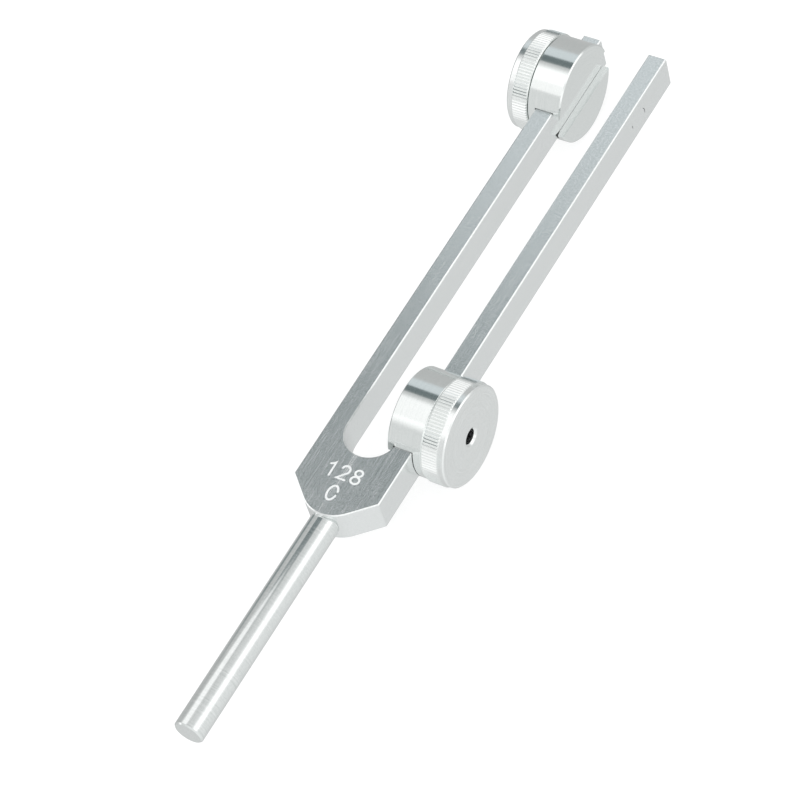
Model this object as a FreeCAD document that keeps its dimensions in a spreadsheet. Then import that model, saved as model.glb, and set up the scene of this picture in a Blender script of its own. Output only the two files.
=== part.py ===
import FreeCAD, Part
import os

import Sketcher

# A tuning fork of aluminium bar on a round stem, with a clamp weight on each tine.
# The fork lies flat. X runs across the tines, Y runs from the stem's free end to the
# tips, and Z is the bar's thickness. The origin is the centre of the stem's end face.

DIMENSIONS = {
    # Fork, cut from flat bar
    "total_length": 227.0,
    "bar_thickness": 10.0,
    "tine_width": 5.2,
    "gap_width": 14.6,
    "gap_floor": 83.6,
    "shoulder": 72.7,
    "yoke_point": 61.3,
    "yoke_round": 9.5,
    "edge_break": 0.3,
    # Stem, a round rod with a spigot that screws into the yoke
    "stem_diameter": 8.0,
    "stem_seat": 66.2,
    "neck_start": 64.6,
    "neck_relief": 0.2,
    "stem_chamfer": 0.4,
    "spigot_diameter": 6.0,
    "spigot_length": 10.0,
    "spigot_chamfer": 0.8,
    "seat_play": 0.03,
    # Weights: distances across the fork count from its centre plane
    "low_weight": 102.0,
    "high_weight": 212.0,
    "barrel_diameter": 27.2,
    "barrel_inner": 5.15,
    "barrel_outer": 15.1,
    "barrel_chamfer": 0.35,
    "lip_play": 0.05,
    "slot_outer": 12.65,
    "slot_height": 10.2,
    "slit_height": 7.0,
    "flare_start": 11.3,
    "flare_depth": 0.6,
    # Thumb knob, a disc with a straight knurl and a plain front rim
    "knob_diameter": 28.0,
    "knob_back": 15.16,
    "knob_front": 21.5,
    "knurl_front": 19.8,
    "knurl_depth": 0.35,
    "knurl_width": 0.35,
    "knurl_teeth": 104,
    "rim_chamfer": 0.35,
    "knob_hole": 4.3,
    "knob_countersink": 0.55,
    # Clamp screw, cup point and hexagon socket
    "screw_diameter": 5.0,
    "screw_length": 6.0,
    "screw_play": 0.05,
    "tip_play": 0.02,
    "tip_chamfer": 0.8,
    "cup_depth": 0.5,
    "socket_width": 2.5,
    "socket_depth": 2.6,
}

SHEET = "Dimensions"

doc = FreeCAD.newDocument("TuningFork")
sheet = doc.addObject("Spreadsheet::Sheet", SHEET)


class Size:
    """A length that carries its value and the sheet formula it comes from."""

    def __init__(self, value, formula):
        self.value = float(value)
        self.formula = formula

    def __add__(self, other):
        other = as_size(other)
        return Size(self.value + other.value, f"({self.formula} + {other.formula})")

    def __sub__(self, other):
        other = as_size(other)
        return Size(self.value - other.value, f"({self.formula} - {other.formula})")

    def __mul__(self, factor):
        return Size(self.value * factor, f"({self.formula} * {factor})")

    def __truediv__(self, factor):
        return Size(self.value / factor, f"({self.formula} / {factor})")

    def __neg__(self):
        return Size(-self.value, f"(0 - {self.formula})")


def as_size(number):
    """A Size from a plain number, or the Size itself."""
    if isinstance(number, Size):
        return number
    return Size(number, str(number))


def dim(alias):
    """The Size held by one cell of the sheet."""
    return Size(DIMENSIONS[alias], f"{SHEET}.{alias}")


def bind(thing, prop, size):
    """Drive one property from the sheet."""
    thing.setExpression(prop, size.formula)


def fill_sheet():
    """Write each dimension as a name, a plain number and an alias."""
    for row, (alias, value) in enumerate(DIMENSIONS.items(), start=1):
        sheet.set(f"A{row}", alias)
        sheet.set(f"B{row}", str(value))
        sheet.setAlias(f"B{row}", alias)
    doc.recompute()


def new_body(name):
    """An empty body whose label names the piece."""
    body = doc.addObject("PartDesign::Body", name)
    body.Label = name
    return body


def origin_feature(body, role):
    """One of the body's own origin planes or axes."""
    return next(item for item in body.Origin.OriginFeatures if item.Role == role)


def new_sketch(body, name, role):
    """A sketch on one of the body's origin planes."""
    sketch = body.newObject("Sketcher::SketchObject", name)
    sketch.AttachmentSupport = [(origin_feature(body, role), "")]
    sketch.MapMode = "FlatFace"
    return sketch


def drive(sketch, kind, *where):
    """Add a driven distance: the last item is its Size."""
    size = where[-1]
    index = sketch.addConstraint(Sketcher.Constraint(kind, *where[:-1], size.value))
    bind(sketch, f"Constraints[{index}]", size)


def pin_vertex(sketch, geometry, end, point):
    """Hold one line end at a point given as a pair of Sizes or zeros."""
    across, along = point
    if isinstance(across, Size):
        drive(sketch, "DistanceX", -1, 1, geometry, end, across)
    else:
        sketch.addConstraint(Sketcher.Constraint("PointOnObject", geometry, end, -2))
    if isinstance(along, Size):
        drive(sketch, "DistanceY", -1, 1, geometry, end, along)
    else:
        sketch.addConstraint(Sketcher.Constraint("PointOnObject", geometry, end, -1))


def draw_polygon(sketch, points):
    """A closed outline through points whose coordinates come from the sheet."""
    corners = [
        FreeCAD.Vector(as_size(x).value, as_size(y).value, 0) for x, y in points
    ]
    count = len(corners)
    for i, corner in enumerate(corners):
        sketch.addGeometry(Part.LineSegment(corner, corners[(i + 1) % count]), False)
    for i in range(count):
        sketch.addConstraint(
            Sketcher.Constraint("Coincident", i, 2, (i + 1) % count, 1)
        )
    for i, point in enumerate(points):
        pin_vertex(sketch, i, 1, point)


def draw_circle(sketch, centre_y, radius):
    """A circle on the sketch's vertical axis."""
    centre = FreeCAD.Vector(0, as_size(centre_y).value, 0)
    circle = Part.Circle(centre, FreeCAD.Vector(0, 0, 1), radius.value)
    index = sketch.addGeometry(circle, False)
    drive(sketch, "Radius", index, radius)
    pin_vertex(sketch, index, 3, (0, centre_y))


def revolve(body, name, sketch, axis, kind="Revolution"):
    """Turn a profile right round one of its sketch's own axes."""
    feature = body.newObject(f"PartDesign::{kind}", name)
    feature.Profile = sketch
    feature.ReferenceAxis = (sketch, [axis])
    feature.Angle = 360
    return feature


def pocket_through(body, name, sketch, depth=None):
    """Cut a profile both ways from its plane, right through or to a full depth."""
    feature = body.newObject("PartDesign::Pocket", name)
    feature.Profile = sketch
    feature.Midplane = True
    if depth is None:
        feature.Type = "ThroughAll"
    else:
        feature.Type = "Length"
        bind(feature, "Length", depth)
    return feature


def cut_something(body, before, name):
    """Stop if the last cut removed nothing from the body."""
    doc.recompute()
    if not body.Shape.Volume < before - 0.01:
        raise RuntimeError(f"{name} removed no material")
    return body.Shape.Volume


def flat_face_edges(shape, half_thickness):
    """Names of the edges round the bar's front and back faces."""
    names = []
    for index, edge in enumerate(shape.Edges, start=1):
        box = edge.BoundBox
        level = abs(box.ZMin)
        flat = box.ZLength < 1e-6
        if flat and abs(level - half_thickness) < 1e-6:
            names.append(f"Edge{index}")
    return names


def edges_along_z(shape, across, along):
    """Names of the edges parallel to Z that pass through one point in plan."""
    names = []
    for index, edge in enumerate(shape.Edges, start=1):
        box = edge.BoundBox
        upright = box.XLength < 1e-6 and box.YLength < 1e-6
        near = abs(box.XMin - across) < 1e-3 and abs(box.YMin - along) < 1e-3
        if upright and near:
            names.append(f"Edge{index}")
    return names


def make_fork_body():
    """Two tines and the tapered yoke, cut from one bar."""
    body = new_body("fork_body")
    half_gap = dim("gap_width") / 2
    half_width = half_gap + dim("tine_width")
    top = dim("total_length")

    outline = new_sketch(body, "bar_outline", "XY_Plane")
    draw_polygon(
        outline,
        [
            (0, dim("yoke_point")),
            (half_width, dim("shoulder")),
            (half_width, top),
            (-half_width, top),
            (-half_width, dim("shoulder")),
        ],
    )
    bar = body.newObject("PartDesign::Pad", "bar")
    bar.Profile = outline
    bar.Midplane = True
    bind(bar, "Length", dim("bar_thickness"))
    doc.recompute()

    # The taper ends in a large round, where the stem enters.
    rounded = body.newObject("PartDesign::Fillet", "yoke_rounding")
    rounded.Base = (bar, edges_along_z(bar.Shape, 0, DIMENSIONS["yoke_point"]))
    bind(rounded, "Radius", dim("yoke_round"))
    doc.recompute()
    volume = body.Shape.Volume

    # The gap between the tines is straight-sided with a round floor.
    arc_centre = dim("gap_floor") + half_gap
    sides = new_sketch(body, "gap_sides", "XY_Plane")
    draw_polygon(
        sides,
        [
            (-half_gap, arc_centre),
            (half_gap, arc_centre),
            (half_gap, top + 5),
            (-half_gap, top + 5),
        ],
    )
    pocket_through(body, "gap", sides)
    volume = cut_something(body, volume, "gap")
    floor = new_sketch(body, "gap_floor", "XY_Plane")
    draw_circle(floor, arc_centre, half_gap)
    pocket_through(body, "gap_round_floor", floor)
    volume = cut_something(body, volume, "gap_round_floor")

    # A spot face and a bore in the yoke take the stem.
    seat_radius = dim("stem_diameter") / 2 - dim("neck_relief") + dim("seat_play")
    bore_radius = dim("spigot_diameter") / 2 + dim("seat_play")
    bore_end = dim("stem_seat") + dim("spigot_length") + 0.5
    seat = new_sketch(body, "stem_seat_profile", "XY_Plane")
    draw_polygon(
        seat,
        [
            (0, dim("yoke_point") - 5),
            (seat_radius, dim("yoke_point") - 5),
            (seat_radius, dim("stem_seat")),
            (bore_radius, dim("stem_seat")),
            (bore_radius, bore_end),
            (0, bore_end + 1.5),
        ],
    )
    revolve(body, "stem_seat", seat, "V_Axis", "Groove")
    cut_something(body, volume, "stem_seat")

    # Every edge round the two flat faces is lightly broken at 45 degrees.
    sharp = body.Tip
    edges = flat_face_edges(sharp.Shape, DIMENSIONS["bar_thickness"] / 2)
    broken = body.newObject("PartDesign::Chamfer", "edge_break")
    broken.Base = (sharp, edges)
    bind(broken, "Size", dim("edge_break"))
    doc.recompute()
    return body


def make_stem():
    """The round rod that the fork is held by, with a relieved neck and a spigot."""
    body = new_body("stem")
    radius = dim("stem_diameter") / 2
    spigot = dim("spigot_diameter") / 2
    neck = radius - dim("neck_relief")
    seat = dim("stem_seat")
    end = seat + dim("spigot_length")
    profile = new_sketch(body, "stem_profile", "XY_Plane")
    draw_polygon(
        profile,
        [
            (0, 0),
            (radius - dim("stem_chamfer"), 0),
            (radius, dim("stem_chamfer")),
            (radius, dim("neck_start")),
            (neck, dim("neck_start")),
            (neck, seat),
            (spigot, seat),
            (spigot, end - dim("spigot_chamfer")),
            (spigot - dim("spigot_chamfer"), end),
            (0, end),
        ],
    )
    revolve(body, "rod", profile, "V_Axis")
    doc.recompute()
    return body


def put_on_tine(body, side, along, across=None):
    """Place a piece on the right tine, or turned round on the left one."""
    if side == "left":
        body.Placement.Rotation = FreeCAD.Rotation(FreeCAD.Vector(0, 0, 1), 180)
    bind(body, "Placement.Base.y", along)
    if across is not None:
        bind(body, "Placement.Base.x", across if side == "right" else -across)


def make_weight_body(side, along):
    """A turned barrel with a T-shaped slot that slides on the tine."""
    body = new_body(f"{side}_weight_body")
    radius = dim("barrel_diameter") / 2
    inner = dim("barrel_inner")
    outer = dim("barrel_outer")
    chamfer = dim("barrel_chamfer")
    profile = new_sketch(body, f"{side}_barrel_profile", "XY_Plane")
    draw_polygon(
        profile,
        [
            (inner, 0),
            (inner, radius - chamfer),
            (inner + chamfer, radius),
            (outer - chamfer, radius),
            (outer, radius - chamfer),
            (outer, 0),
        ],
    )
    revolve(body, f"{side}_barrel", profile, "H_Axis")
    doc.recompute()
    volume = body.Shape.Volume

    # The wide part of the slot holds the tine. Its mouths flare a little, so that the
    # lips clear the round floor of the gap.
    lip = dim("gap_width") / 2 - dim("lip_play")
    wall = dim("slot_outer")
    start = dim("flare_start")
    mouth = radius + 1
    flared = lip - dim("flare_depth")
    slot = new_sketch(body, f"{side}_slot_plan", "XY_Plane")
    draw_polygon(
        slot,
        [
            (lip, -start),
            (flared, -mouth),
            (wall, -mouth),
            (wall, mouth),
            (flared, mouth),
            (lip, start),
        ],
    )
    pocket_through(body, f"{side}_tine_slot", slot, dim("slot_height"))
    volume = cut_something(body, volume, "tine_slot")

    # The narrow part opens the barrel's inner end, and leaves a lip on each side.
    slit = new_sketch(body, f"{side}_slit_plan", "XY_Plane")
    draw_polygon(
        slit,
        [
            (inner - 1, -mouth),
            (lip + 1, -mouth),
            (lip + 1, mouth),
            (inner - 1, mouth),
        ],
    )
    pocket_through(body, f"{side}_slit", slit, dim("slit_height"))
    volume = cut_something(body, volume, "slit")

    # The clamp screw comes through the outer wall.
    hole = new_sketch(body, f"{side}_screw_hole_profile", "XY_Plane")
    hole_radius = dim("screw_diameter") / 2 + dim("screw_play")
    draw_polygon(
        hole,
        [
            (wall - 0.5, 0),
            (wall - 0.5, hole_radius),
            (outer + 1, hole_radius),
            (outer + 1, 0),
        ],
    )
    revolve(body, f"{side}_screw_hole", hole, "H_Axis", "Groove")
    cut_something(body, volume, "screw_hole")
    put_on_tine(body, side, along)
    return body


def make_thumb_knob(side, along):
    """The knurled disc that turns the clamp screw."""
    body = new_body(f"{side}_thumb_knob")
    radius = dim("knob_diameter") / 2
    rim = radius - dim("knurl_depth")
    back = dim("knob_back")
    front = dim("knob_front")
    knurl_front = dim("knurl_front")
    chamfer = dim("rim_chamfer")
    hole = dim("knob_hole") / 2
    countersink = dim("knob_countersink")
    screw_hole = dim("screw_diameter") / 2 + dim("screw_play")
    screw_end = dim("gap_width") / 2 + dim("tine_width") + dim("tip_play")
    step = screw_end + dim("screw_length") + 0.2
    profile = new_sketch(body, f"{side}_knob_profile", "XY_Plane")
    draw_polygon(
        profile,
        [
            (back, screw_hole),
            (back, rim),
            (back + dim("knurl_depth"), radius),
            (knurl_front - dim("knurl_depth"), radius),
            (knurl_front, rim),
            (front - chamfer, rim),
            (front, rim - chamfer),
            (front, hole + countersink),
            (front - countersink, hole),
            (step, hole),
            (step, screw_hole),
        ],
    )
    revolve(body, f"{side}_disc", profile, "H_Axis")
    doc.recompute()
    volume = body.Shape.Volume

    # One groove of the straight knurl, as deep as the plain rim, then all of them.
    half_width = dim("knurl_width")
    groove = new_sketch(body, f"{side}_groove_section", "YZ_Plane")
    draw_polygon(
        groove,
        [
            (0, rim),
            (half_width * 1.5, rim + dim("knurl_depth") * 1.5),
            (-half_width * 1.5, rim + dim("knurl_depth") * 1.5),
        ],
    )
    first = pocket_through(body, f"{side}_knurl_groove", groove)
    cut_something(body, volume, "knurl_groove")
    pattern = body.newObject("PartDesign::PolarPattern", f"{side}_knurl")
    pattern.Originals = [first]
    pattern.Axis = (origin_feature(body, "X_Axis"), [""])
    pattern.Angle = 360
    bind(pattern, "Occurrences", dim("knurl_teeth"))
    body.Tip = pattern
    doc.recompute()
    put_on_tine(body, side, along)
    return body


def make_clamp_screw(side, along):
    """A cup-point screw. Its socket end is at the body's own origin."""
    body = new_body(f"{side}_clamp_screw")
    radius = dim("screw_diameter") / 2
    length = dim("screw_length")
    chamfer = dim("tip_chamfer")
    cup = dim("cup_depth")
    profile = new_sketch(body, f"{side}_screw_profile", "XY_Plane")
    draw_polygon(
        profile,
        [
            (0, 0),
            (0, radius - 0.4),
            (-as_size(0.4), radius),
            (chamfer - length, radius),
            (-length, radius - chamfer),
            (-length, radius - chamfer - 0.3),
            (cup - length, 0),
        ],
    )
    revolve(body, f"{side}_shank", profile, "H_Axis")
    doc.recompute()
    volume = body.Shape.Volume

    # A hexagon socket in the outer end.
    half = dim("socket_width") / 2
    corner = dim("socket_width") / 1.7320508
    socket = new_sketch(body, f"{side}_socket_section", "YZ_Plane")
    draw_polygon(
        socket,
        [
            (corner, 0),
            (corner / 2, half),
            (-corner / 2, half),
            (-corner, 0),
            (-corner / 2, -half),
            (corner / 2, -half),
        ],
    )
    cut = body.newObject("PartDesign::Pocket", f"{side}_socket")
    cut.Profile = socket
    cut.Type = "Length"
    bind(cut, "Length", dim("socket_depth"))
    cut_something(body, volume, "socket")
    tine_face = dim("gap_width") / 2 + dim("tine_width")
    put_on_tine(body, side, along, tine_face + dim("tip_play") + length)
    return body


def check_and_export(bodies):
    """Refuse a broken model, then write one STEP file for each piece."""
    doc.recompute()
    for item in doc.Objects:
        if "Invalid" in item.State or "Error" in item.State:
            raise RuntimeError(f"{item.Name} failed: {item.State}")
    for body in bodies:
        shape = body.Shape
        if shape.isNull() or not shape.isValid() or len(shape.Solids) != 1:
            raise RuntimeError(f"{body.Label} has no single valid solid")
    os.makedirs("parts", exist_ok=True)
    for body in bodies:
        body.Shape.exportStep(os.path.join("parts", f"{body.Label}.step"))
        print(body.Label, round(body.Shape.Volume, 1))


fill_sheet()
pieces = [make_fork_body(), make_stem()]
for side, place in (("left", dim("high_weight")), ("right", dim("low_weight"))):
    pieces.append(make_weight_body(side, place))
    pieces.append(make_thumb_knob(side, place))
    pieces.append(make_clamp_screw(side, place))
check_and_export(pieces)
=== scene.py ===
"""Tuning fork with two sliding clamp weights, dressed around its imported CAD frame.

Axes as in the CAD: +X across the tines, +Y from the stem's free end to the tips, +Z out of the
marked front face. The fork lies flat, so the floor touches the thumb knobs' rims.
"""

import math

import bmesh
import bpy
from mathutils import Matrix, Vector


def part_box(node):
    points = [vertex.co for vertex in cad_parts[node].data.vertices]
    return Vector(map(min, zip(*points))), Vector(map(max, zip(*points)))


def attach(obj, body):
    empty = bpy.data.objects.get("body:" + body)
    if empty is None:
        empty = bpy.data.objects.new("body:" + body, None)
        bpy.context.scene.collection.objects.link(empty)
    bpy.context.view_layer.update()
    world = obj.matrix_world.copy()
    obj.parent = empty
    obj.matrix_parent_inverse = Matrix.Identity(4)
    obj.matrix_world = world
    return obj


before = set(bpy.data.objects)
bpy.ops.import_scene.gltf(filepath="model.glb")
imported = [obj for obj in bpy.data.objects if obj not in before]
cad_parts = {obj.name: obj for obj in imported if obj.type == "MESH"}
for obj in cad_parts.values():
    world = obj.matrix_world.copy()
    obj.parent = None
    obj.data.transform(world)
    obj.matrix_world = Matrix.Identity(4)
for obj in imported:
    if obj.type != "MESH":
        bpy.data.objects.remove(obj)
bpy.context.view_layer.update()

MM = 0.001
FRONT_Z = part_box("fork_body")[1].z
TINE_SIDE_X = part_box("fork_body")[1].x
FLOOR_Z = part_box("right_thumb_knob")[0].z

# ---------------------------------------------------------------- camera
# Its place is in metres, and its lens and sensor are in millimetres.
CAMERA_PLACE = (0.3556, -0.2501, 0.6509)
CAMERA_RIGHT = Vector((0.84769, 0.49305, -0.19577))
CAMERA_UP = Vector((-0.3055, 0.75541, 0.57968))
CAMERA_LENS = 146.27
CAMERA_SENSOR = 36


def make_camera():
    data = bpy.data.cameras.new("camera")
    data.sensor_width = CAMERA_SENSOR
    data.lens = CAMERA_LENS
    data.clip_start = 0.01
    camera = bpy.data.objects.new("camera", data)
    bpy.context.scene.collection.objects.link(camera)
    back = CAMERA_RIGHT.cross(CAMERA_UP)
    turn = Matrix((CAMERA_RIGHT, CAMERA_UP, back)).transposed()
    camera.matrix_world = Matrix.Translation(CAMERA_PLACE) @ turn.to_4x4()
    bpy.context.scene.camera = camera


# ---------------------------------------------------------------- materials
class Nodes:
    """A material's node tree, with short ways to add and link the nodes used here."""

    def __init__(self, name, **sockets):
        self.material = bpy.data.materials.new(name)
        self.material.use_nodes = True
        self.tree = self.material.node_tree
        self.shader = self.tree.nodes["Principled BSDF"]
        for socket, value in sockets.items():
            self.shader.inputs[socket.replace("_", " ")].default_value = value

    def add(self, kind, inputs=(), **settings):
        node = self.tree.nodes.new("ShaderNode" + kind)
        for key, value in settings.items():
            setattr(node, key, value)
        for key, value in dict(inputs).items():
            self.put(node.inputs[key], value)
        return node

    def put(self, socket, value):
        if isinstance(value, bpy.types.NodeSocket):
            self.tree.links.new(value, socket)
        else:
            socket.default_value = value

    def place(self, scale, shift=(0, 0, 0)):
        """Object position in millimetres, shifted by millimetres and then scaled for a texture."""
        where = self.add("TexCoord").outputs["Object"]
        mm = self.add("VectorMath", {0: where, 3: 1 / MM}, operation="SCALE").outputs[0]
        moved = self.add("VectorMath", {0: mm, 1: shift}, operation="SUBTRACT").outputs[0]
        return self.add("VectorMath", {0: moved, 1: scale}, operation="MULTIPLY").outputs[0]

    def noise(self, where, detail=2.0, rough=0.5):
        inputs = {"Vector": where, "Scale": 1.0, "Detail": detail, "Roughness": rough}
        return self.add("TexNoise", inputs).outputs["Fac"]

    def math(self, operation, a, b=0.0):
        return self.add("Math", {0: a, 1: b}, operation=operation).outputs[0]

    def weigh(self, a, share_a, b, share_b):
        """The sum of two values, each times its share."""
        first = self.math("MULTIPLY", a, share_a)
        return self.math("ADD", first, self.math("MULTIPLY", b, share_b))

    def spread(self, value, low, high, start=0.3, end=0.7, curve="LINEAR"):
        """Turns a value from start to end into one from low to high."""
        inputs = {"Value": value, 1: start, 2: end, 3: low, 4: high}
        return self.add("MapRange", inputs, interpolation_type=curve).outputs[0]

    def tint(self, value, dark, light):
        """Blends two colours, each given as numbers or as a socket, by a value from 0 to 1."""
        mix = self.add("Mix", data_type="RGBA")
        self.put(mix.inputs[0], value)
        for index, colour in ((6, dark), (7, light)):
            fixed = not isinstance(colour, bpy.types.NodeSocket)
            self.put(mix.inputs[index], (*colour, 1) if fixed else colour)
        return mix.outputs[2]

    def bump(self, height, depth_mm):
        inputs = {"Height": height, "Distance": depth_mm * MM, "Strength": 1.0}
        return self.add("Bump", inputs).outputs["Normal"]

    def finish(self, **links):
        for socket, value in links.items():
            self.put(self.shader.inputs[socket.replace("_", " ")], value)
        return self.material


def brushed_bar():
    """Bar stock, brushed lengthways on its two broad faces and smoother on its sides.

    A paler line runs down the yoke, where the brushing passes overlap.
    """
    line_x, line_core, line_edge = -0.4, 0.35, 0.95
    line_weak_y, line_strong_y = 70, 83
    side_contrast, face_contrast = 0.25, 1

    m = Nodes("brushed_aluminium", Metallic=0.955, Specular_IOR_Level=0.2)
    fine = m.spread(m.noise(m.place((4.0, 0.035, 4.0), (3, 40, 7)), 2, 0.6), 0, 1, 0.36, 0.64)
    grain = m.spread(m.noise(m.place((2.0, 1.7, 2.0), (11, 5, 2)), 4, 0.9), 0, 1, 0.42, 0.58)
    hair = m.spread(m.noise(m.place((5.0, 0.1, 5.0), (50, 3, 21)), 1), 0, 1, 0.64, 0.72)
    streak = m.weigh(fine, 0.75, hair, 1.5)
    seen = m.weigh(streak, 0.35, grain, 0.65)

    place = m.add("SeparateXYZ", {0: m.place((1, 1, 1))})
    off_line = m.math("ABSOLUTE", m.math("ADD", place.outputs["X"], -line_x))
    near_line = m.spread(off_line, 1, 0, line_core, line_edge)
    down_line = m.spread(place.outputs["Y"], 0.3, 1, line_weak_y, line_strong_y)
    on_line = m.math("MULTIPLY", near_line, down_line)

    facing = m.add("SeparateXYZ", {0: m.add("TexCoord").outputs["Normal"]}).outputs["Z"]
    contrast = m.spread(m.math("ABSOLUTE", facing), side_contrast, face_contrast, 0.5, 0.95)
    swing = m.math("MULTIPLY", m.math("SUBTRACT", seen, 0.5), contrast)
    paler = m.math("ADD", m.math("ADD", swing, 0.5), m.math("MULTIPLY", on_line, 0.32))
    rough = m.math("ADD", m.spread(streak, 0.15, 0.24, 0, 1), m.math("MULTIPLY", on_line, 0.12))
    return m.finish(
        Base_Color=m.tint(paler, (0.74, 0.775, 0.77), (1.0, 1.0, 1.0)),
        Roughness=rough,
        Normal=m.bump(m.math("MULTIPLY", seen, contrast), 0.01),
    )


# The grey of the painted shade in a knurl's grooves, and the millimetres over which it fades at
# their ends.
GROOVE_SHADE_GREY = (0.84, 0.86, 0.85)
GROOVE_END_FADE = 0.05


def turned(name, axis, centre, dark, light, rough, depth_mm=0.003, line=9.0, groove=None):
    """Lathe-turned metal: lines round the axis on its walls, and rings on its flat ends.

    line is about how many turning lines there are in a millimetre. groove is the crest radius,
    depth and span along the axis of a knurl, whose grooves are darkened with painted shade.
    """
    m = Nodes(name, Metallic=1.0)
    place = m.place((1, 1, 1), centre)
    across = [1 - abs(a) for a in axis]
    flat = m.add("VectorMath", {0: place, 1: across}, operation="MULTIPLY").outputs[0]
    radius = m.add("VectorMath", {0: flat}, operation="LENGTH").outputs["Value"]
    along = m.add("VectorMath", {0: place, 1: axis}, operation="DOT_PRODUCT").outputs["Value"]
    step = m.weigh(along, line, radius, line)
    drift = m.math("MULTIPLY", m.noise(m.place((0.12, 0.12, 0.12), centre)), 2.0)
    lines = m.noise(m.add("CombineXYZ", {0: step, 1: drift}).outputs[0], 3, 0.6)
    cloud = m.noise(m.place((2.2, 2.2, 2.2), (9, 2, 4)), 3)
    mixed = m.weigh(lines, 0.75, cloud, 0.25)
    colour = m.tint(m.spread(mixed, 0, 1, 0.4, 0.6), dark, light)
    if groove:
        crest, depth, (start, end) = groove
        off = m.math("ABSOLUTE", along)
        past_start = m.spread(off, 0, 1, start, start + GROOVE_END_FADE)
        before_end = m.spread(off, 1, 0, end - GROOVE_END_FADE, end)
        band = m.math("MULTIPLY", past_start, before_end)
        # Painted shade: the grooves are tinted grey towards their bottoms, fading out up to the
        # crests.
        low = m.math("MULTIPLY", m.spread(radius, 1, 0, crest - depth, crest), band)
        colour = m.tint(low, colour, GROOVE_SHADE_GREY)
    return m.finish(
        Base_Color=colour,
        Roughness=m.spread(mixed, *rough),
        Normal=m.bump(lines, depth_mm),
    )


def grainy(m, grain, dark, light, rough, depth_mm):
    """Finishes a material whose colour, roughness and bump all follow one grain."""
    return m.finish(
        Base_Color=m.tint(m.spread(grain, 0, 1), dark, light),
        Roughness=m.spread(grain, *rough),
        Normal=m.bump(grain, depth_mm),
    )


def screw_steel():
    """Blackened steel with a fine grain."""
    m = Nodes("black_oxide_steel", Metallic=1.0)
    grain = m.noise(m.place((4, 4, 4)), 4)
    return grainy(m, grain, (0.02, 0.02, 0.022), (0.06, 0.06, 0.065), (0.35, 0.55), 0.01)


def etched_white():
    """Frosted white of a laser-etched mark, with a sandy grain."""
    m = Nodes("etched_white", Metallic=0.0, IOR=1.45)
    grain = m.noise(m.place((7, 7, 7)), 4, 0.7)
    return grainy(m, grain, (0.90, 0.93, 0.93), (0.99, 1.0, 1.0), (0.55, 0.8), 0.02)


def scuffed_dark():
    """Burnished rim of the dents that the clamp screw presses into the tine."""
    m = Nodes("scuffed_aluminium", Metallic=1.0)
    grain = m.noise(m.place((6, 6, 6), (1, 8, 3)), 3)
    return grainy(m, grain, (0.12, 0.13, 0.13), (0.30, 0.31, 0.31), (0.3, 0.5), 0.01)


# How each kind of turned piece looks: its two colours are for the dark and light of its lines.
ROD = {
    "axis": (0, 1, 0),
    "centre": (0, 0, 0),
    "dark": (0.80, 0.83, 0.82),
    "light": (0.95, 0.965, 0.96),
    "rough": (0.12, 0.2),
    "depth_mm": 0.002,
    "line": 6,
}
BARREL = {
    "axis": (1, 0, 0),
    "dark": (0.83, 0.86, 0.85),
    "light": (0.92, 0.94, 0.93),
    "rough": (0.1, 0.16),
    "depth_mm": 0.0018,
}
KNOB = {
    "axis": (1, 0, 0),
    "dark": (0.86, 0.88, 0.87),
    "light": (0.97, 0.985, 0.98),
    "rough": (0.16, 0.24),
    "groove": (14.0, 0.3, (15.2, 19.8)),
}


def dress(node, material):
    """Gives a CAD node its material."""
    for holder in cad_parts[node].material_slots:
        holder.material = material


def dress_all():
    dress("fork_body", brushed_bar())
    dress("stem", turned("polished_rod", **ROD))
    steel = screw_steel()
    for side in ("left", "right"):
        low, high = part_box(side + "_weight_body")
        centre = (0, (low.y + high.y) / 2 / MM, 0)
        barrel = turned(side + "_turned", centre=centre, **BARREL)
        knob = turned(side + "_knurled", centre=centre, **KNOB)
        dress(side + "_weight_body", barrel)
        dress(side + "_thumb_knob", knob)
        dress(side + "_clamp_screw", steel)


# ---------------------------------------------------------------- marks on the metal
# Strokes in millimetres: how deep their undersides sit in the metal, how high they stand, and
# how much higher each stroke stands than the last, so that crossing strokes share no face.
SUNK = 0.01
STROKE_HEIGHT = 0.03
STROKE_STEP = 0.004
ETCHED_WIDTH = 0.57
DENT_WIDTH = 0.22
END_FACETS = 6


def arc(centre, radii, start, end, steps=16):
    """Points along an ellipse from start to end degrees."""
    turns = (math.radians(start + (end - start) * i / steps) for i in range(steps + 1))
    return [(centre[0] + radii[0] * math.cos(t), centre[1] + radii[1] * math.sin(t)) for t in turns]


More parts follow.
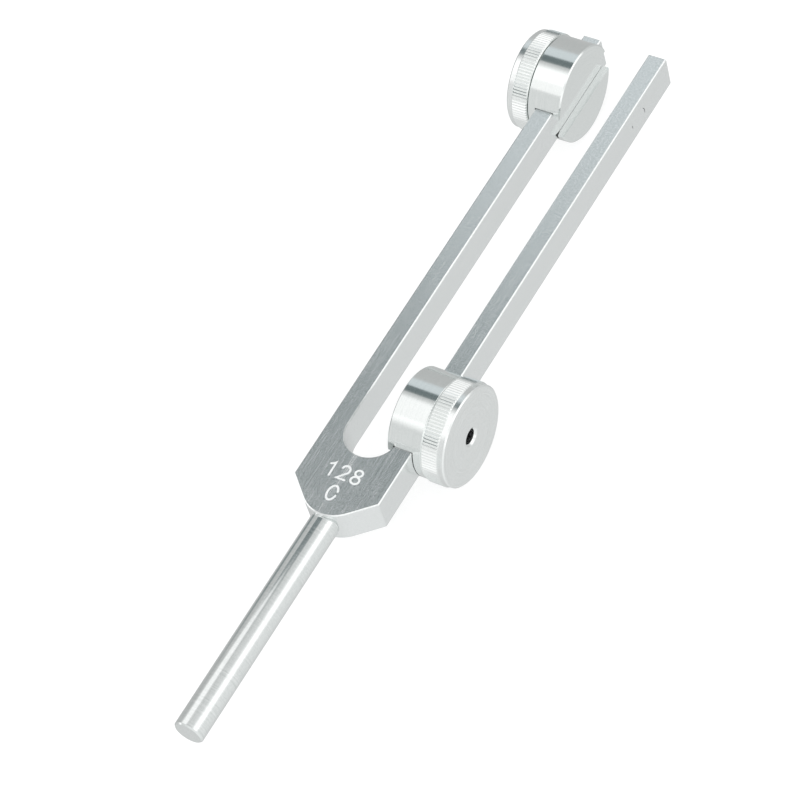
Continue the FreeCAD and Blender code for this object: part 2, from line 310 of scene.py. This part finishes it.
def ribbon(bm, path, width, height, closed):
    """Adds a stroke of one width along a flat path, with round ends and a flat top."""
    path = [Vector(p) for p in path]
    count = len(path)
    sides = []
    for i, p in enumerate(path):
        before = path[(i - 1) % count] if closed or i else None
        after = path[(i + 1) % count] if closed or i < count - 1 else None
        a = (p - before).normalized() if before is not None else (after - p).normalized()
        b = (after - p).normalized() if after is not None else a
        bisector = (a + b).normalized()
        reach = width / 2 / max(0.5, bisector.dot(a))
        normal = Vector((-bisector.y, bisector.x)) * reach
        sides.append((p + normal, p - normal))

    def column(point):
        return [bm.verts.new((point.x, point.y, z)) for z in (0, height)]

    left = [column(s[0]) for s in sides]
    right = [column(s[1]) for s in sides]
    for i in range(count if closed else count - 1):
        j = (i + 1) % count
        bm.faces.new((left[i][1], right[i][1], right[j][1], left[j][1]))
        bm.faces.new((left[i][0], left[j][0], right[j][0], right[i][0]))
        bm.faces.new((left[i][0], left[i][1], left[j][1], left[j][0]))
        bm.faces.new((right[i][0], right[j][0], right[j][1], right[i][1]))
    if closed:
        return
    for i, turn in ((0, 1), (count - 1, -1)):
        centre, spoke = path[i], (sides[i][0] - path[i]) * turn
        rim = [left[i]] if turn > 0 else [right[i]]
        for k in range(1, END_FACETS):
            angle = math.pi * k / END_FACETS
            s, c = math.sin(angle), math.cos(angle)
            turned_spoke = Vector((spoke.x * c - spoke.y * s, spoke.x * s + spoke.y * c))
            rim.append(column(centre + turned_spoke))
        rim.append(right[i] if turn > 0 else left[i])
        bm.faces.new([v[1] for v in rim])
        bm.faces.new([v[0] for v in reversed(rim)])
        for a, b in zip(rim, rim[1:]):
            bm.faces.new((a[0], b[0], b[1], a[1]))


def stroke_piece(name, strokes, width_mm, place, material):
    """One piece on the fork made of strokes in millimetres, set into the row frame by a matrix.

    Each stroke is its path and whether the path is a closed loop.
    """
    bm = bmesh.new()
    for i, (path, closed) in enumerate(strokes):
        points = [(x * MM, y * MM) for x, y in path]
        ribbon(bm, points, width_mm * MM, (STROKE_HEIGHT + STROKE_STEP * i) * MM, closed)
    bmesh.ops.recalc_face_normals(bm, faces=bm.faces)
    bmesh.ops.transform(bm, matrix=place, verts=bm.verts)
    mesh = bpy.data.meshes.new(name)
    bm.to_mesh(mesh)
    bm.free()
    mesh.materials.append(material)
    piece = bpy.data.objects.new(name, mesh)
    bpy.context.scene.collection.objects.link(piece)
    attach(piece, "fork")


def make_marks():
    """The pitch marking on the yoke, drawn as plain strokes."""
    one = [(-5.05, 78.85), (-4.45, 79.1), (-3.95, 79.6), (-3.9, 75.6)]
    two = arc((-0.5, 78.5), (1.12, 1.2), 165, -35) + [(-1.75, 75.65), (0.65, 75.68)]
    loops = ((78.8, 1.0, 0.92), (76.65, 1.18, 1.05))
    eight = [arc((3.2, y), (wide, high), 90, 450, 24)[:-1] for y, wide, high in loops]
    letter = arc((-0.3, 71.3), (1.28, 2.15), 20, 346, 28)
    front = Matrix.Translation((0, 0, FRONT_Z - SUNK * MM))
    white = etched_white()
    digits = [(one, False), (two, False)] + [(loop, True) for loop in eight]
    stroke_piece("etched_128", digits, ETCHED_WIDTH, front, white)
    stroke_piece("etched_c", [(letter, False)], ETCHED_WIDTH, front, white)


def make_clamp_dents():
    """Two short crescents where the clamp screw's cup point has pressed the right tine."""
    side_x = TINE_SIDE_X - SUNK * MM
    side = Matrix(((0, 0, 1, side_x), (1, 0, 0, 0), (0, 1, 0, 0), (0, 0, 0, 1)))
    long_dent = arc((211.3, -0.4), (1.7, 1.7), -25, 45, 8)
    short_dent = arc((204.6, -0.2), (1.7, 1.7), -8, 20, 5)
    crescents = [(long_dent, False), (short_dent, False)]
    stroke_piece("clamp_dents", crescents, DENT_WIDTH, side, scuffed_dark())


# ---------------------------------------------------------------- studio
FLOOR_GAP = 0.05 * MM
FLOOR_SIZE = (8, 8)
FLOOR_PAINT = (0.35, 0.35, 0.35)
FLOOR_RADIANCE = 0.78
FILL_PLACE = (-0.2, -0.2, 0.95)
FILL_TARGET = (0, 0.1, 0)
FILL_SIZE = 1.2
FILL_WATTS = 3.2
WHITE = (1, 1, 1)
BLUISH = (0.93, 1.0, 1.03)
DIM = (0.82, 1.0, 1.03)
YOKE = (0, 0.05, 0)

# The panels that the metal mirrors: centre, size, how far it fades in from its low and high x
# edges and its low and high y edges, radiance, colour, and the point it faces, if not level.
# White paper has a radiance of 1. The cards are darker than the tent round them.
PANELS = {
    "overhead": ((-0.52, -0.42, 0.75), (0.96, 1.44), (0.5, 0.22, 0.7, 0.22), 1.2, WHITE, None),
    "back": ((-0.4, 0.93, 0.76), (0.9, 0.85), (0.2, 0.2, 0.04, 0.35), 0.71, BLUISH, None),
    "grey_card": (
        (-0.345, 0.45, 0.72), (0.63, 0.27), (0.08, 0.06, 0.03, 0.025), 0.18, DIM, None
    ),
    "stem_reflector": (
        (-0.17, 0.045, 0.15), (0.3, 0.14), (0.2, 0.04, 0.03, 0.012), 1.05, WHITE, None
    ),
    "right": (
        (0.75, 0.6, 0.56), (1.5, 1.0), (0.3, 0.3, 0.3, 0.35), 1.2, WHITE, (0, 0.4, 0)
    ),
    "front_right": ((0.85, -0.35, 0.2), (0.9, 0.5), (0.2, 0.2, 0.2, 0.2), 1.15, WHITE, YOKE),
    "left": ((-0.95, -0.12, 0.1), (0.5, 0.75), (0.1, 0.1, 0.1, 0.1), 1.25, WHITE, YOKE),
    "front": ((0.38, -0.75, 0.62), (1.0, 0.45), (0.1, 0.1, 0.1, 0.1), 1.15, WHITE, YOKE),
    "front_left": ((-0.78, -0.48, 0.16), (0.5, 0.45), (0.1, 0.1, 0.1, 0.1), 1.2, WHITE, YOKE),
    "low_card": (
        (-0.5, 0.47, -0.3), (0.24, 0.3), (0.05, 0.05, 0.05, 0.05), 0.12, DIM, (0, 0.45, -0.3)
    ),
    "left_card": (
        (-0.5, 0.355, 0.0), (0.34, 0.26), (0.12, 0.06, 0.1, 0.1), 0.22, DIM, (0, 0.355, 0)
    ),
}


def matt_glow(name, paint, glow, radiance):
    """The nodes of a matt paint that also glows."""
    return Nodes(
        name,
        Roughness=1.0,
        Specular_IOR_Level=0.0,
        Base_Color=(*paint, 1),
        Emission_Color=(*glow, 1),
        Emission_Strength=radiance,
    )


def make_sheet(name, size, place):
    """A flat sheet that is part of the studio."""
    bm = bmesh.new()
    bmesh.ops.create_grid(bm, x_segments=4, y_segments=4, size=1)
    bmesh.ops.scale(bm, vec=(size[0] / 2, size[1] / 2, 1), verts=bm.verts)
    mesh = bpy.data.meshes.new(name)
    bm.to_mesh(mesh)
    bm.free()
    sheet = bpy.data.objects.new(name, mesh)
    sheet.location = place
    bpy.context.scene.collection.objects.link(sheet)
    return sheet


def make_floor():
    """A white light table. The metal does not mirror it, and shows the tent below instead."""
    table = make_sheet("floor", FLOOR_SIZE, (0, 0, FLOOR_Z - FLOOR_GAP))
    table.data.materials.append(matt_glow("floor", FLOOR_PAINT, WHITE, FLOOR_RADIANCE).material)
    table.visible_glossy = False


def aim(obj, place, target):
    obj.location = place
    obj.rotation_euler = (Vector(target) - Vector(place)).to_track_quat("-Z", "Y").to_euler()


def make_glow(name, place, size, fade, radiance, colour, target):
    """A glowing sheet that bare metal mirrors, and that fades to clear inside each edge."""
    sheet = make_sheet(name, size, place)
    sheet.visible_camera = False
    sheet.visible_shadow = False
    if target:
        aim(sheet, place, target)
    m = matt_glow(name + "_glow", (0, 0, 0), colour, radiance)
    where = m.add("SeparateXYZ", {0: m.add("TexCoord").outputs["Object"]})
    clear = 1.0
    for axis, length, (low, high) in (("X", size[0] / 2, fade[:2]), ("Y", size[1] / 2, fade[2:])):
        rise = m.spread(where.outputs[axis], 0, 1, -length, low - length, "SMOOTHSTEP")
        fall = m.spread(where.outputs[axis], 1, 0, length - high, length, "SMOOTHSTEP")
        clear = m.math("MULTIPLY", clear, m.math("MULTIPLY", rise, fall))
    sheet.data.materials.append(m.finish(Alpha=clear))


def make_fill():
    """A soft light that whitens the floor and the etched marks, and that metal does not mirror."""
    data = bpy.data.lights.new("fill", "AREA")
    data.shape = "RECTANGLE"
    data.size, data.size_y = FILL_SIZE, FILL_SIZE
    data.energy = FILL_WATTS
    light = bpy.data.objects.new("fill", data)
    bpy.context.scene.collection.objects.link(light)
    aim(light, FILL_PLACE, FILL_TARGET)
    light.visible_camera = False
    light.visible_glossy = False


def make_tent():
    """The pale surroundings, a little brighter towards +X and -Y."""
    middle_strength = 0.7
    rise_by_direction = (0.16, -0.13, 0.0)
    tent_colour = (0.985, 1.0, 1.0, 1)

    world = bpy.data.worlds.new("tent")
    bpy.context.scene.world = world
    world.use_nodes = True
    tree = world.node_tree
    where = tree.nodes.new("ShaderNodeTexCoord")
    slope = tree.nodes.new("ShaderNodeVectorMath")
    slope.operation = "DOT_PRODUCT"
    slope.inputs[1].default_value = rise_by_direction
    level = tree.nodes.new("ShaderNodeMath")
    level.inputs[1].default_value = middle_strength
    tree.links.new(where.outputs["Generated"], slope.inputs[0])
    tree.links.new(slope.outputs["Value"], level.inputs[0])
    tree.links.new(level.outputs[0], tree.nodes["Background"].inputs["Strength"])
    tree.nodes["Background"].inputs["Color"].default_value = tent_colour


def make_studio():
    make_floor()
    for name, settings in PANELS.items():
        make_glow(name, *settings)
    make_fill()
    make_tent()
    bpy.context.scene.view_settings.view_transform = "Standard"


make_camera()
make_studio()
dress_all()
make_marks()
make_clamp_dents()
